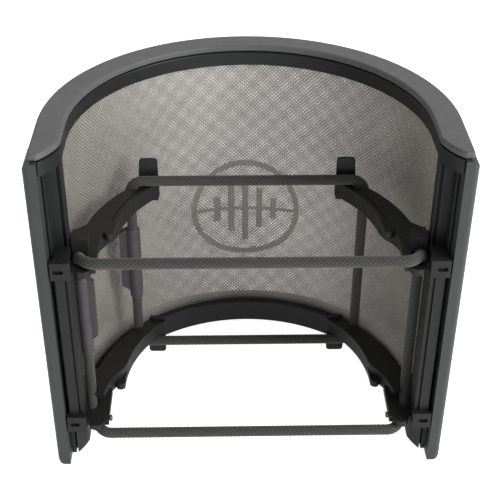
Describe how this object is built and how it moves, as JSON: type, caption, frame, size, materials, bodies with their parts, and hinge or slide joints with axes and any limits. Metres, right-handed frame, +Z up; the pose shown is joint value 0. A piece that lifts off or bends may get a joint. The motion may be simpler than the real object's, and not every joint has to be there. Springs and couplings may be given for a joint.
{
  "type": "pop filter",
  "caption": "Wrap-around pop filter: a U-shaped woven mesh shell with an open front and a sliding cradle whose elastic cord loops grip a microphone.",
  "frame": {"origin": "bottom centre of the whole object, on the plane it stands on", "axes": "+Z up, +X to the right seen from the open front, and the open front faces -Y"},
  "size_m": [0.1232, 0.0812, 0.113],
  "materials": {
    "cap_plastic": "fine matt moulded grain",
    "trim_plastic": "satin moulded",
    "shell_plastic": "satin moulded",
    "cradle_plastic": "satin moulded",
    "woven_steel": "fine woven wire, dark coated",
    "badge_steel": "matt dark grey",
    "cord_textile": "braided elastic cord",
    "sleeve_rubber": "moulded soft satin",
    "screw_steel": "black oxide"
  },
  "bodies": {
    "shell": {"top_cap": "cap_plastic", "top_frame": "shell_plastic", "bottom_frame": "shell_plastic", "top_clamp_ring": "shell_plastic", "bottom_clamp_ring": "shell_plastic", "inner_mesh": "woven_steel", "outer_mesh": "woven_steel", "badge": "badge_steel", "left_trim": "trim_plastic", "right_trim": "trim_plastic", "left_post": "shell_plastic", "right_post": "shell_plastic", "left_top_screw": "screw_steel", "right_top_screw": "screw_steel", "left_bottom_screw": "screw_steel", "right_bottom_screw": "screw_steel"},
    "cradle": {"left_spine": "cradle_plastic", "left_upper_arm": "cradle_plastic", "left_upper_clip": "cradle_plastic", "left_upper_arm_screw": "screw_steel", "left_lower_arm": "cradle_plastic", "left_lower_clip": "cradle_plastic", "left_lower_arm_screw": "screw_steel", "front_cord_left_side": "cord_textile", "rear_cord_left_side": "cord_textile", "right_spine": "cradle_plastic", "right_upper_arm": "cradle_plastic", "right_upper_clip": "cradle_plastic", "right_upper_arm_screw": "screw_steel", "right_lower_arm": "cradle_plastic", "right_lower_clip": "cradle_plastic", "right_lower_arm_screw": "screw_steel", "front_cord_right_side": "cord_textile", "rear_cord_right_side": "cord_textile", "front_sleeve": "sleeve_rubber", "rear_sleeve": "sleeve_rubber"},
    "front_upper_run": {"front_cord_upper_run": "cord_textile"},
    "front_lower_run": {"front_cord_lower_run": "cord_textile"},
    "rear_upper_run": {"rear_cord_upper_run": "cord_textile"},
    "rear_lower_run": {"rear_cord_lower_run": "cord_textile"}
  },
  "joints": [
    {"name": "cradle_slide", "type": "slide", "parent": "shell", "child": "cradle", "axis": [0, 0, 1], "range_m": [0, 0.026]},
    {"name": "front_upper_stretch", "type": "slide", "parent": "cradle", "child": "front_upper_run", "axis": [0, -1, 0], "range_m": [0, 0.01], "stiffness_N_per_m": 250},
    {"name": "front_lower_stretch", "type": "slide", "parent": "cradle", "child": "front_lower_run", "axis": [0, -1, 0], "range_m": [0, 0.01], "stiffness_N_per_m": 250},
    {"name": "rear_upper_stretch", "type": "slide", "parent": "cradle", "child": "rear_upper_run", "axis": [0, 1, 0], "range_m": [0, 0.01], "stiffness_N_per_m": 250},
    {"name": "rear_lower_stretch", "type": "slide", "parent": "cradle", "child": "rear_lower_run", "axis": [0, 1, 0], "range_m": [0, 0.01], "stiffness_N_per_m": 250}
  ]
}
